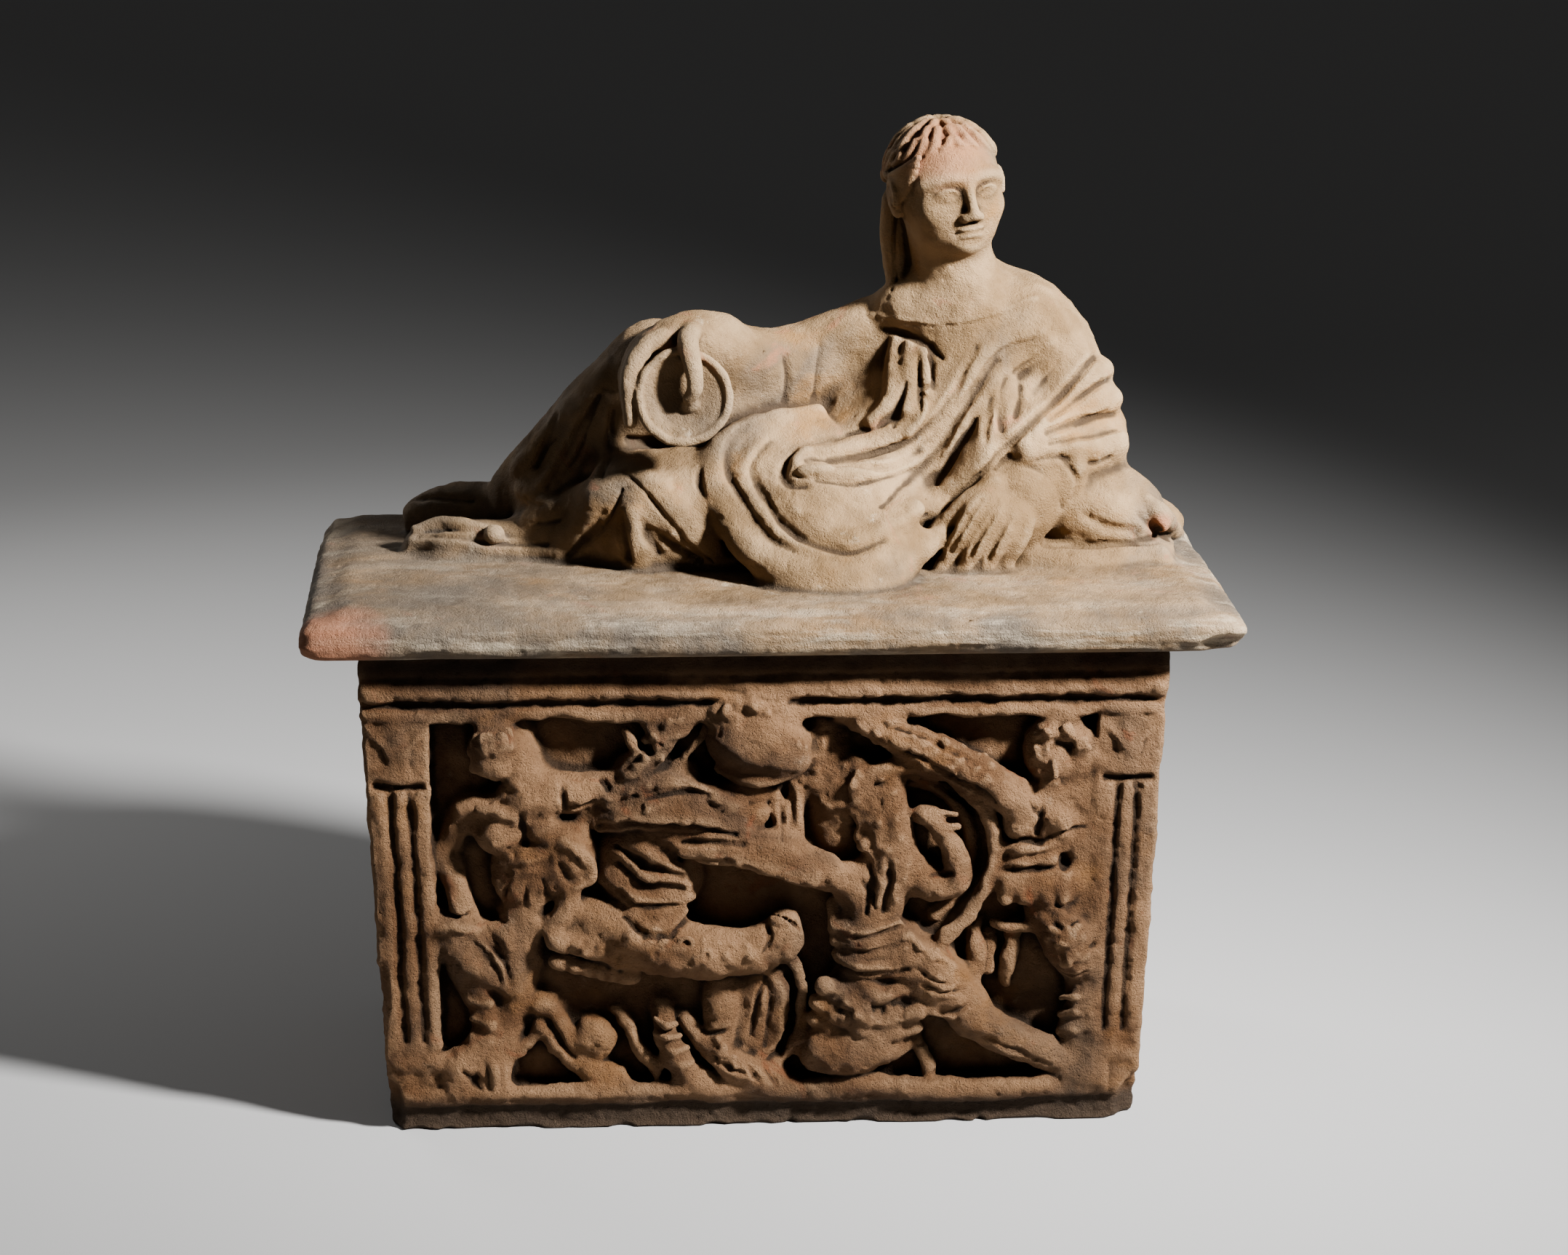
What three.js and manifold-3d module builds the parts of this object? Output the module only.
// A terracotta cinerary urn in two pieces: a hollow chest with a battle in high relief on its
// front, and a loose lid with a draped figure reclining on it, holding a shallow bowl.
// Millimetres, +Z up, +X to the viewer's right. The carved front faces -Y.
// The origin is on the ground, under the middle of the lid.
import * as THREE from 'three';
import { mergeVertices } from 'three/addons/utils/BufferGeometryUtils.js';
import Module from 'manifold-3d';

const wasm = await Module();
wasm.setup();

// Driving dimensions
const lidLength = 660;
const lidDepth = 340;
const slabThickness = 25;
const slabSoftEdge = 8;
const slabCrown = 3; // how much its middle swells above its edge, like a mattress
const chestHeight = 355;
const chestTopWidth = 570;
const chestBottomWidth = 538;
const chestDepth = 290;
const chestShift = -6; // the lid sits a little to one side of the chest
const wallThickness = 22;
const floorThickness = 24;
const panelRecess = 18; // how far the ground of the relief lies behind the frame
const panelBottom = 30;
const panelTop = 306;
const panelHalfWidth = 236;
const pilasterMiddle = 248; // at the ground; the pilasters lean outwards from there
const seatGap = 0.3; // clearance between the lid and the chest's rim

// Places worked out from them
const frontY = -chestDepth / 2;
const groundY = frontY + panelRecess;
const slabBottom = chestHeight + seatGap;
const slabTop = slabBottom + slabThickness;
const sideSlope = (chestTopWidth - chestBottomWidth) / 2 / chestHeight;
const sideLean = Math.atan(sideSlope);

// Fineness of the round forms
const limbSides = 7;
const strandSides = 5;
const foldSides = 4;
const domeReach = 0.7;

// Colours
const bodyClay = new THREE.MeshStandardMaterial({ color: 0xb08a62, roughness: 0.9, metalness: 0 });
const chestClay = new THREE.MeshStandardMaterial({ color: 0x9c7048, roughness: 0.92, metalness: 0 });

const radians = THREE.MathUtils.degToRad;

// A closed three.js geometry as a solid that can be joined and cut
function solid(geometry) {
  geometry.deleteAttribute('normal');
  geometry.deleteAttribute('uv');
  const merged = mergeVertices(geometry, 1e-3);
  const index = merged.index.array;
  const faces = [];
  for (let i = 0; i < index.length; i += 3) {
    const [a, b, c] = [index[i], index[i + 1], index[i + 2]];
    if (a !== b && b !== c && c !== a) faces.push(a, b, c);
  }
  return new wasm.Manifold(new wasm.Mesh({
    numProp: 3,
    vertProperties: new Float32Array(merged.attributes.position.array),
    triVerts: new Uint32Array(faces),
  }));
}

function join(solids) {
  return solids.reduce((whole, piece) => whole.add(piece));
}

// Crowded forms can shut a pocket in: only the outer skin of the largest body stays
function closePockets(manifold) {
  return manifold.decompose().reduce((best, body) => (body.volume() > best.volume() ? body : best));
}

function toGeometry(manifold) {
  const mesh = manifold.getMesh();
  const geometry = new THREE.BufferGeometry();
  geometry.setAttribute('position', new THREE.BufferAttribute(mesh.vertProperties, 3));
  geometry.setIndex(new THREE.BufferAttribute(mesh.triVerts, 1));
  geometry.computeVertexNormals();
  return geometry;
}

// A form is a solid with the distance from a point to its surface, so that folds can be laid on it

// A rounded limb between two ends, each [x, y, z, radius]
function limb([ax, ay, az, ra], [bx, by, bz, rb], sides = limbSides) {
  const a = new THREE.Vector3(ax, ay, az);
  const b = new THREE.Vector3(bx, by, bz);
  const along = b.clone().sub(a);
  const distance = (p) => {
    const t = THREE.MathUtils.clamp(p.clone().sub(a).dot(along) / along.lengthSq(), 0, 1);
    return p.distanceTo(a.clone().addScaledVector(along, t)) - THREE.MathUtils.lerp(ra, rb, t);
  };
  return { solid: strand([[ax, ay, az, ra], [bx, by, bz, rb]], sides).solid, distance };
}

// A chain of limbs through several [x, y, z, radius]
function chain(points, sides = limbSides) {
  return points.slice(1).map((point, i) => limb(points[i], point, sides));
}

// An egg-shaped mass, turned by degrees about X, Y and Z
function mass([x, y, z], [rx, ry, rz], [tx, ty, tz] = [0, 0, 0], sides = 14) {
  const geometry = new THREE.SphereGeometry(1, sides, Math.round(sides * 0.55));
  geometry.rotateX(Math.PI / 2);
  geometry.scale(rx, ry, rz);
  const turn = new THREE.Quaternion().setFromEuler(new THREE.Euler(radians(tx), radians(ty), radians(tz)));
  geometry.applyQuaternion(turn);
  geometry.translate(x, y, z);
  const back = turn.clone().invert();
  const centre = new THREE.Vector3(x, y, z);
  const smallest = Math.min(rx, ry, rz);
  const distance = (p) => {
    const q = p.clone().sub(centre).applyQuaternion(back);
    return (new THREE.Vector3(q.x / rx, q.y / ry, q.z / rz).length() - 1) * smallest;
  };
  return { solid: solid(geometry), distance };
}

// A rope of clay along a smooth curve through [x, y, z, radius] points, domed at its ends
function strand(points, sides = strandSides, stepsPerSpan = 1) {
  const curve = new THREE.CatmullRomCurve3(points.map(([x, y, z]) => new THREE.Vector3(x, y, z)));
  const spans = points.length - 1;
  const steps = spans * stepsPerSpan;
  const frames = curve.computeFrenetFrames(steps, false);
  const geometry = new THREE.CylinderGeometry(1, 1, 1, sides, steps);
  const position = geometry.attributes.position;
  for (let i = 0; i < position.count; i++) {
    const t = THREE.MathUtils.clamp(0.5 - position.getY(i), 0, 1);
    const span = Math.min(Math.floor(t * spans), spans - 1);
    const radius = THREE.MathUtils.lerp(points[span][3], points[span + 1][3], t * spans - span);
    const station = Math.round(t * steps);
    const atCentre = Math.hypot(position.getX(i), position.getZ(i)) < 0.5;
    const dome = atCentre ? (t < 0.5 ? -1 : 1) * radius * domeReach : 0;
    const place = curve.getPoint(t)
      .addScaledVector(frames.normals[station], position.getX(i) * radius)
      .addScaledVector(frames.binormals[station], position.getZ(i) * radius)
      .addScaledVector(frames.tangents[station], dome);
    position.setXYZ(i, place.x, place.y, place.z);
  }
  const rope = solid(geometry);
  return { solid: rope };
}

// A fold: a rope laid on the front of some forms, through [x, z, radius] points seen from the front
function fold(forms, points, far = -220, near = 120) {
  const laid = points.map(([x, z, radius]) => {
    const p = new THREE.Vector3(x, far, z);
    for (let step = 0; step < 60 && p.y < near; step++) {
      const gap = Math.min(...forms.map((form) => form.distance(p)));
      if (gap < 0.4) break;
      p.y += Math.max(gap * 0.8, 0.3);
    }
    return [x, p.y, z, radius];
  }).filter(([, y]) => y < near);
  return strand(laid, foldSides);
}

function block(x0, x1, y0, y1, z0, z1) {
  const geometry = new THREE.BoxGeometry(x1 - x0, y1 - y0, z1 - z0);
  geometry.translate((x0 + x1) / 2, (y0 + y1) / 2, (z0 + z1) / 2);
  return solid(geometry);
}

// The chest

// A box whose sides draw in towards the ground
function taperedBox(topWidth, y0, y1, z0, z1) {
  const geometry = new THREE.BoxGeometry(topWidth, y1 - y0, z1 - z0);
  const position = geometry.attributes.position;
  for (let i = 0; i < position.count; i++) {
    if (position.getZ(i) < 0) {
      const inward = (z1 - z0) * sideSlope;
      position.setX(i, position.getX(i) - Math.sign(position.getX(i)) * inward);
    }
  }
  geometry.translate(chestShift, (y0 + y1) / 2, (z0 + z1) / 2);
  return solid(geometry);
}

function chestShell() {
  const outer = taperedBox(chestTopWidth, frontY, -frontY, 0, chestHeight);
  const hollow = taperedBox(chestTopWidth - 2 * wallThickness,
    groundY + wallThickness, -frontY - wallThickness, floorThickness, chestHeight + 1);
  const panel = block(chestShift - panelHalfWidth, chestShift + panelHalfWidth,
    frontY - 1, groundY, panelBottom, panelTop);
  const grooveZ = 316;
  const groove = strand([[-300, frontY - 1, grooveZ, 3.5], [300, frontY - 1, grooveZ, 3.5]], 6).solid;
  const footCut = block(-300, 300, frontY - 5, frontY + 4, 3, 19);
  return outer.subtract(hollow).subtract(panel).subtract(groove).subtract(footCut);
}

// A fluted pilaster with a scrolled capital and a ringed foot, leaning with the side of the chest
function pilaster(side) {
  const halfWidth = 21;
  const footTop = 68;
  const capitalBottom = 260;
  const flutes = 3;
  const outline = new THREE.Shape();
  outline.moveTo(-halfWidth, groundY + 2);
  for (let k = 0; k < flutes; k++) {
    const middle = (k - (flutes - 1) / 2) * 14;
    outline.lineTo(middle - 7, frontY + 5);
    outline.lineTo(middle - 4, frontY - 1);
    outline.lineTo(middle + 4, frontY - 1);
  }
  outline.lineTo(halfWidth, frontY + 5);
  outline.lineTo(halfWidth, groundY + 2);
  const shaft = new THREE.ExtrudeGeometry(outline, { depth: capitalBottom - footTop, bevelEnabled: false });
  shaft.translate(0, 0, footTop);
  const ring = (z, radius, reach) => strand([[-reach, frontY + 3, z, radius], [reach, frontY + 3, z, radius]]).solid;
  const parts = [
    solid(shaft),
    block(-halfWidth, halfWidth, frontY + 2, groundY + 2, 30, footTop + 1),
    block(-halfWidth, halfWidth, frontY + 4, groundY + 2, capitalBottom - 1, 312),
    ring(capitalBottom + 6, 5, 19),
    ring(304, 6, 21),
    ring(54, 9, 19),
    mass([-12, frontY + 4, capitalBottom + 26], [10, 9, 13], [0, 18, 0], 6).solid,
    mass([12, frontY + 4, capitalBottom + 26], [10, 9, 13], [0, -18, 0], 6).solid,
  ];
  const lean = THREE.MathUtils.radToDeg(sideLean) * 0.8;
  return join(parts).rotate([0, side * lean, 0])
    .translate([chestShift + side * pilasterMiddle, 0, 0]);
}

// A relief point is [x, z, height of its middle above the ground, radius]
function onPanel([x, z, height, radius]) {
  return [x, groundY - height, z, radius];
}

function carve(...points) {
  return strand(points.map(onPanel)).solid;
}

function knob(x, z, height, [rx, ry, rz], turn = 0) {
  return mass([x, groundY - height, z], [rx, ry, rz], [0, turn, 0], Math.max(rx, rz) > 20 ? 7 : 6).solid;
}

// An arc of an ellipse on the panel, as a rope of clay, its angles in degrees from +X towards +Z
function arc([x, z, height], [rx, rz], from, to, radius, spans = 5) {
  const points = [];
  for (let k = 0; k <= spans; k++) {
    const angle = radians(from + (to - from) * k / spans);
    points.push([x + rx * Math.cos(angle), z + rz * Math.sin(angle), height, radius]);
  }
  return carve(...points);
}

// A row of leather tabs, [x, z] being the ends of the line along their tops
function tabs([ax, az], [bx, bz], count, drop, height, sag = 0) {
  const top = (t) => az + (bz - az) * t - sag * Math.sin(Math.PI * t);
  const outline = new THREE.Shape();
  outline.moveTo(ax, top(0));
  for (let k = 0; k < count; k++) {
    for (const [t, low] of [[(k + 0.08) / count, 0.72], [(k + 0.5) / count, 1], [(k + 0.92) / count, 0.72]]) {
      outline.lineTo(ax + (bx - ax) * t, top(t) - drop * low);
    }
    if (k < count - 1) outline.lineTo(ax + (bx - ax) * (k + 1) / count, top((k + 1) / count) - drop * 0.35);
  }
  outline.lineTo(bx, top(1));
  outline.lineTo((ax + bx) / 2, top(0.5));
  const geometry = new THREE.ExtrudeGeometry(outline, { depth: height + 3, bevelEnabled: false });
  geometry.rotateX(Math.PI / 2);
  geometry.translate(0, groundY + 3, 0);
  return solid(geometry);
}

function leftFury() {
  return [
    knob(-198, 285, 12, [19, 17, 27], -8), // head
    carve([-214, 236, 7, 11], [-186, 244, 9, 14], [-150, 252, 9, 12], [-116, 257, 9, 9], [-103, 268, 9, 8]),
    knob(-180, 226, 4, [31, 18, 26]), // chest
    knob(-189, 224, 14, [14, 12, 12]),
    knob(-161, 228, 14, [13, 12, 12]),
    carve([-112, 254, 8, 4.5], [-92, 283, 11, 8], [-62, 308, 9, 8]), // torch
    carve([-192, 202, 14, 5], [-154, 212, 15, 5]), // belt
    knob(-146, 192, 9, [24, 16, 18]), // overfold
    knob(-172, 180, 5, [26, 16, 20]),
    carve([-212, 238, 6, 10], [-229, 202, 6, 9], [-222, 168, 9, 8], [-229, 148, 11, 10]), // lowered arm
    carve([-228, 150, 9, 12], [-205, 128, 9, 14], [-188, 106, 8, 7]), // cloth from the hand
    carve([-186, 170, 2, 16], [-188, 100, 3, 14], [-194, 42, 9, 11]),
    carve([-214, 122, 7, 10], [-207, 92, 9, 10], [-212, 60, 9, 8], [-223, 40, 12, 10]),
  ];
}

function fallenShield() {
  return [
    knob(-124, 65, 9, [16, 14, 16]),
    arc([-124, 68, 7], [27, 28], 150, 262, 6, 3),
    carve([-182, 46, 6, 7], [-166, 74, 5, 6], [-146, 52, 6, 8], [-128, 34, 7, 9]),
  ];
}

function leftWarrior() {
  return [
    knob(-16, 284, 15, [37, 22, 27], 8), // helmet
    carve([-40, 311, 12, 7], [6, 315, 12, 7]), // its wreath
    knob(-20, 251, 12, [16, 15, 17]), // face
    carve([-48, 304, 8, 4], [-66, 268, 8, 4]),
    carve([-14, 238, 9, 13], [-50, 250, 10, 15], [-88, 245, 9, 13], [-122, 238, 5, 8]), // cloak
    knob(-78, 198, 5, [46, 19, 42], -15), // torso
    carve([-48, 217, 17, 15], [0, 205, 19, 15], [56, 186, 17, 12]), // arm
    knob(-86, 158, 13, [19, 12, 16]),
    carve([-116, 144, 8, 18], [-60, 130, 11, 20], [-10, 134, 14, 16], [15, 150, 16, 12]), // thigh
    knob(18, 163, 15, [10, 9, 8]),
    tabs([-152, 152], [-102, 134], 3, 22, 18),
    tabs([-78, 150], [-44, 144], 3, 18, 34),
    carve([-80, 88, 7, 9], [-77, 60, 9, 10], [-62, 38, 10, 9], [-36, 32, 9, 7]),
    carve([-30, 96, 4, 15], [-42, 68, 8, 11], [-32, 46, 11, 13], [4, 36, 10, 8]),
  ];
}

function midShield() {
  return [
    mass([-6, groundY - 4, 88], [20, 13, 42], [0, 4, 0], 8).solid,
    arc([-2, 88, 7], [25, 43], -80, 80, 5, 5),
  ];
}

function rightWarrior() {
  return [
    knob(52, 238, 10, [18, 15, 19], 20), // head
    carve([54, 268, 9, 8], [64, 240, 13, 8], [68, 212, 12, 8]), // crest
    carve([78, 254, 8, 12], [82, 214, 10, 15], [78, 182, 10, 18]),
    carve([60, 178, 15, 10], [80, 162, 15, 11]), // the hands that grip them
    carve([84, 204, 7, 18], [74, 152, 10, 24], [68, 112, 8, 30]), // torso
    carve([48, 144, 23, 5], [96, 146, 20, 5]),
    carve([88, 192, 8, 14], [128, 180, 12, 13], [122, 230, 15, 10]), // shield arm
    arc([94, 203, 9], [61, 67], -62, 124, 7, 6), // shield
    knob(98, 200, -3, [56, 8, 62]),
    tabs([36, 114], [104, 114], 4, 24, 22, 5),
    tabs([33, 98], [100, 98], 4, 27, 18, 6),
    carve([38, 58, 9, 19], [60, 55, 10, 17], [90, 54, 7, 11]), // folded leg
    carve([96, 126, 7, 22], [132, 96, 11, 17], [150, 74, 12, 14], [186, 55, 10, 12], [216, 40, 10, 9]),
    knob(232, 36, 11, [17, 9, 8], 5),
  ];
}

function rightFury() {
  return [
    knob(206, 279, 10, [22, 16, 24]), // hair
    knob(200, 271, 19, [13, 13, 16]), // face
    carve([206, 252, 8, 12], [205, 228, 6, 22]),
    knob(194, 208, 4, [32, 17, 32]), // trunk
    knob(182, 226, 14, [12, 12, 12]),
    knob(206, 228, 14, [12, 12, 12]),
    carve([50, 302, 6, 4], [96, 288, 9, 9], [138, 270, 10, 12], [180, 246, 10, 13], [220, 246, 8, 10]), // torch
    carve([160, 205, 15, 5], [202, 209, 15, 5]),
    knob(182, 178, 8, [26, 15, 17]), // overfold
    knob(206, 182, 6, [18, 13, 20]),
    carve([166, 152, 8, 6], [182, 151, 9, 5], [198, 160, 10, 6]),
    carve([147, 146, 5, 7], [149, 104, 5, 5]),
    carve([170, 142, 5, 8], [168, 104, 5, 6]),
    carve([194, 152, 7, 14], [208, 138, 10, 18], [217, 108, 8, 13]), // raised knee
    carve([219, 116, 6, 11], [220, 80, 6, 10], [217, 58, 7, 10], [228, 42, 8, 10]),
  ];
}

function chest() {
  const bands = [
    strand([[-chestTopWidth / 2 + 2, frontY + 3, 327, 6], [chestTopWidth / 2 - 14, frontY + 3, 327, 6]], 6).solid,
    strand([[-chestTopWidth / 2 + 2, frontY + 4, 310, 5], [chestTopWidth / 2 - 14, frontY + 4, 310, 5]], 6).solid,
    strand([[-chestBottomWidth / 2, frontY + 3, 22, 4.5], [chestBottomWidth / 2 - 12, frontY + 3, 22, 4.5]], 6).solid,
  ];
  const figures = [leftFury(), fallenShield(), leftWarrior(), midShield(), rightWarrior(), rightFury()].flat();
  const carving = join([...bands, pilaster(-1), pilaster(1), ...figures]);
  const hollow = taperedBox(chestTopWidth - 2 * wallThickness,
    groundY + wallThickness, -frontY - wallThickness, floorThickness, chestHeight + 1);
  return closePockets(chestShell().add(carving.subtract(hollow)));
}

// The lid

function slab() {
  const half = lidDepth / 2;
  const profile = new THREE.Shape();
  profile.moveTo(-half + 5, slabBottom);
  profile.lineTo(-half, slabBottom + 6);
  profile.lineTo(-half + 2, slabTop - 9);
  profile.lineTo(-half + 12, slabTop - 1);
  profile.lineTo(-half + 34, slabTop + slabCrown);
  profile.lineTo(half - 20, slabTop + slabCrown);
  profile.lineTo(half, slabTop - 4);
  profile.lineTo(half, slabBottom);
  const geometry = new THREE.ExtrudeGeometry(profile, {
    depth: lidLength - 2 * slabSoftEdge, bevelThickness: slabSoftEdge, bevelSize: slabSoftEdge * 0.6,
    bevelOffset: -slabSoftEdge * 0.6, bevelSegments: 1,
  });
  geometry.rotateX(Math.PI / 2);
  geometry.rotateZ(Math.PI / 2);
  geometry.translate(-lidLength / 2 + slabSoftEdge, 0, 0);
  const chip = strand([[280, -half, slabBottom - 3, 9], [345, -half, slabBottom, 11]]).solid;
  return solid(geometry).subtract(chip);
}

// Lower part of the body: hips, both legs and the feet
function legs() {
  return [
    mass([38, 22, 424], [92, 92, 52], [0, 0, 0], 10), // hips
    ...chain([[20, 66, 452, 44], [-78, 30, 520, 37]]), // raised thigh
    ...chain([[-78, 30, 520, 37], [-172, 70, 424, 28]]), // its shin
    mass([-226, 88, 400], [38, 19, 21], [0, 0, -4], 7), // its foot
    ...chain([[20, 10, 424, 50], [-84, 2, 420, 47]]), // lying thigh
    ...chain([[-90, 4, 416, 38], [-168, 24, 396, 22]]), // its shin
    mass([-208, 30, 393], [54, 19, 16], [0, 0, -9], 8), // its foot
    mass([-128, 40, 430], [52, 34, 54], [0, 30, 0], 7), // cloth between the shins
  ];
}

function trunk() {
  return [
    mass([158, 58, 520], [62, 48, 56], [0, 0, 0], 10), // chest
    mass([148, 50, 556], [62, 38, 36], [0, 6, 0], 8), // shoulders
    ...chain([[146, 54, 510, 50], [92, 42, 462, 52]]), // belly
    ...chain([[142, 48, 574, 37], [137, 42, 622, 30]]), // neck
    ...chain([[205, 46, 536, 34], [240, 40, 470, 33]]), // left upper arm, under the cloak
    ...chain([[238, 36, 458, 30], [192, -8, 442, 24]]), // left forearm
    mass([178, 22, 446], [62, 48, 62], [0, 0, 0], 7), // cloak between arm and chest
    ...chain([[92, 64, 542, 25], [14, 54, 514, 27], [-44, 9, 541, 22]]), // right arm
  ];
}

// The cloth behind the figure, which closes the back plainly from the shins to the cushion
function backCloth() {
  const outline = new THREE.Shape();
  outline.moveTo(-178, 375);
  outline.quadraticCurveTo(-160, 448, -88, 520);
  outline.quadraticCurveTo(10, 470, 96, 540);
  outline.quadraticCurveTo(150, 580, 206, 545);
  outline.quadraticCurveTo(248, 500, 262, 375);
  const soft = 14;
  const geometry = new THREE.ExtrudeGeometry(outline, {
    depth: 42, curveSegments: 4, bevelThickness: soft, bevelSize: soft, bevelOffset: -soft, bevelSegments: 1,
  });
  geometry.rotateX(Math.PI / 2);
  geometry.translate(0, 96, 0);
  return { solid: solid(geometry) };
}

function cushion() {
  return [
    mass([248, 22, 412], [56, 50, 38], [0, 0, 14], 10),
    mass([238, 14, 388], [66, 58, 12], [0, 0, 14], 8), // its flat lower layer
    mass([290, -7, 409], [9, 8, 9], [0, 0, 0], 6), // tassel
    mass([288, 92, 388], [34, 44, 19], [0, 0, 0], 8), // cloth heaped behind it
  ];
}

// The right hand lies on the raised knee and steadies the bowl against it
function rightHand() {
  const parts = [...chain([[-46, 4, 544, 18], [-66, -8, 550, 16]], 6)];
  const fingers = 2;
  for (let k = 0; k < fingers; k++) {
    const back = k * 11;
    parts.push(strand([
      [-72, -12 + back, 553, 10], [-92, -26 + back, 544, 8],
      [-101, -36 + back, 524, 7], [-100, -40 + back, 498, 5],
    ]));
  }
  parts.push(strand([[-60, -14, 556, 10], [-55, -42, 545, 8], [-53, -50, 522, 6]]));
  return parts;
}

function leftHand() {
  const parts = [mass([182, -18, 424], [32, 22, 34], [0, 24, 0], 8)];
  const tips = [[122, -34, 391], [148, -36, 386], [167, -36, 385], [184, -30, 389]];
  const knuckles = [[160, -34, 432], [166, -38, 416], [178, -38, 410], [192, -32, 408]];
  tips.forEach(([x, y, z], k) => {
    const [kx, ky, kz] = knuckles[k];
    parts.push(strand([[kx, ky, kz, 11], [(x + kx) / 2 - 3, (y + ky) / 2 - 4, (z + kz) / 2, 9], [x, y, z, 6]]));
  });
  return parts;
}

// A shallow offering bowl with a boss, its mouth towards the viewer
function bowl() {
  const outline = [[0, -6], [26, -5], [34, 2], [33, 6], [27, 2], [8, 0], [0, 7]];
  const geometry = new THREE.LatheGeometry(outline.map(([r, h]) => new THREE.Vector2(r, h)), 16);
  geometry.rotateX(radians(168)); // the bowl's axis now points at the viewer and a little up
  geometry.translate(-60, -42, 515);
  return { solid: solid(geometry) };
}

// The head, in its own frame: -y forwards, z up from its middle
function head() {
  const halfHeight = 47.5;
  const geometry = new THREE.SphereGeometry(1, 12, 9);
  geometry.rotateX(Math.PI / 2);
  geometry.rotateZ(Math.PI / 2);
  const position = geometry.attributes.position;
  for (let i = 0; i < position.count; i++) {
    const [x, y, z] = [position.getX(i), position.getY(i), position.getZ(i)];
    const below = Math.max(-z, 0);
    const hair = z > 0.42 || (z > -0.35 && y > 0.1) ? 3 : 0;
    const nape = y > 0 ? 1 - 0.35 * below : 1;
    position.setXYZ(i,
      x * (41.5 * (1 - 0.3 * below ** 2) + hair),
      y * (45 + hair) * nape - below * 9 + 2,
      z * halfHeight);
  }
  const forms = [
    { solid: solid(geometry) },
    strand([[0, -42, 4, 4], [0, -50, -17, 7]]), // nose
  ];
  for (const side of [-1, 1]) {
    forms.push(mass([side * 41, 2, -6], [6, 9, 14], [0, 0, side * 20], 6)); // ear
  }
  const locks = 5;
  for (let k = 0; k < locks; k++) { // combed forwards from the crown
    const angle = radians(-72 + 144 * k / (locks - 1));
    const [s, c] = [Math.sin(angle), Math.cos(angle)];
    forms.push(strand([
      [10 * s, -8 * c, 44.5, 6], [31 * s, -29 * c, 36, 10], [41 * s, -42 * c + 2, 21, 6],
    ]));
  }
  forms.push(strand([[-24, 24, -20, 14], [-26, 24, -84, 10]])); // hair down the nape
  const whole = join(forms.map((form) => form.solid));
  return whole.rotate([-2, -4, 18]).translate([134, 38, 652.5]);
}

// The long folds of the cloak and tunic, each seen from the front as [x, z, radius]
function drapery(body) {
  const shoulderFolds = [
    [[196, 560, 3], [160, 548, 7], [122, 500, 8], [84, 468, 7], [30, 458, 4]],
    [[210, 556, 3], [178, 528, 7], [146, 480, 8], [100, 450, 7], [44, 444, 4]],
    [[224, 545, 3], [196, 508, 9], [160, 466, 10], [120, 434, 8], [96, 422, 4]],
    [[104, 556, 4], [106, 522, 8], [96, 496, 8], [66, 476, 4]],
  ];
  const sleeveFolds = [
    [[240, 540, 4], [222, 508, 9], [194, 480, 8], [172, 458, 4]],
    [[258, 508, 5], [236, 488, 9], [206, 474, 5]],
    [[264, 470, 6], [238, 462, 10], [214, 452, 9], [212, 432, 5]],
  ];
  const kneeFolds = [
    [[-98, 530, 3], [-120, 500, 7], [-152, 450, 7], [-170, 428, 4]],
    [[-104, 516, 3], [-112, 486, 6], [-130, 440, 7], [-150, 412, 4]],
    [[-106, 462, 4], [-124, 430, 8], [-142, 398, 5]],
    [[-104, 456, 4], [-101, 420, 9], [-97, 390, 6]],
    [[-102, 458, 5], [-72, 424, 9], [-36, 392, 6]],
  ];
  return [...shoulderFolds, ...sleeveFolds, ...kneeFolds].map((points) => fold(body, points));
}

// The hanging loops of the cloak around the hips
function loops() {
  return [
    strand([
      [20, 20, 480, 8], [-22, 2, 478, 9], [-34, -18, 452, 10], [-22, -44, 420, 11], [10, -80, 398, 12],
      [56, -96, 391, 13], [100, -64, 402, 12], [122, -36, 412, 8],
    ], 6),
    strand([[20, 6, 472, 7], [-12, -14, 464, 9], [-13, -36, 438, 10], [12, -70, 412, 11],
      [54, -86, 405, 12], [102, -54, 415, 9]], 6),
    strand([[26, 0, 466, 6], [4, -20, 456, 8], [10, -50, 430, 9], [50, -74, 417, 11], [100, -48, 428, 9]], 6),
  ];
}

function lid() {
  const body = [...legs(), ...trunk()];
  const forms = [
    ...body, backCloth(), ...cushion(), ...rightHand(), ...leftHand(), bowl(), ...drapery(body), ...loops(),
  ];
  const figure = join([head(), ...forms.map((form) => form.solid)]);
  const buried = block(-400, 400, -400, 400, slabBottom - 200, slabBottom + 6);
  return closePockets(slab().add(figure.subtract(buried)));
}

function namedMesh(name, manifold, material) {
  const mesh = new THREE.Mesh(toGeometry(manifold), material);
  mesh.name = name;
  return mesh;
}

const urn = new THREE.Group();
urn.add(namedMesh('chest', chest(), chestClay));
urn.add(namedMesh('lid', lid(), bodyClay));

export default urn;
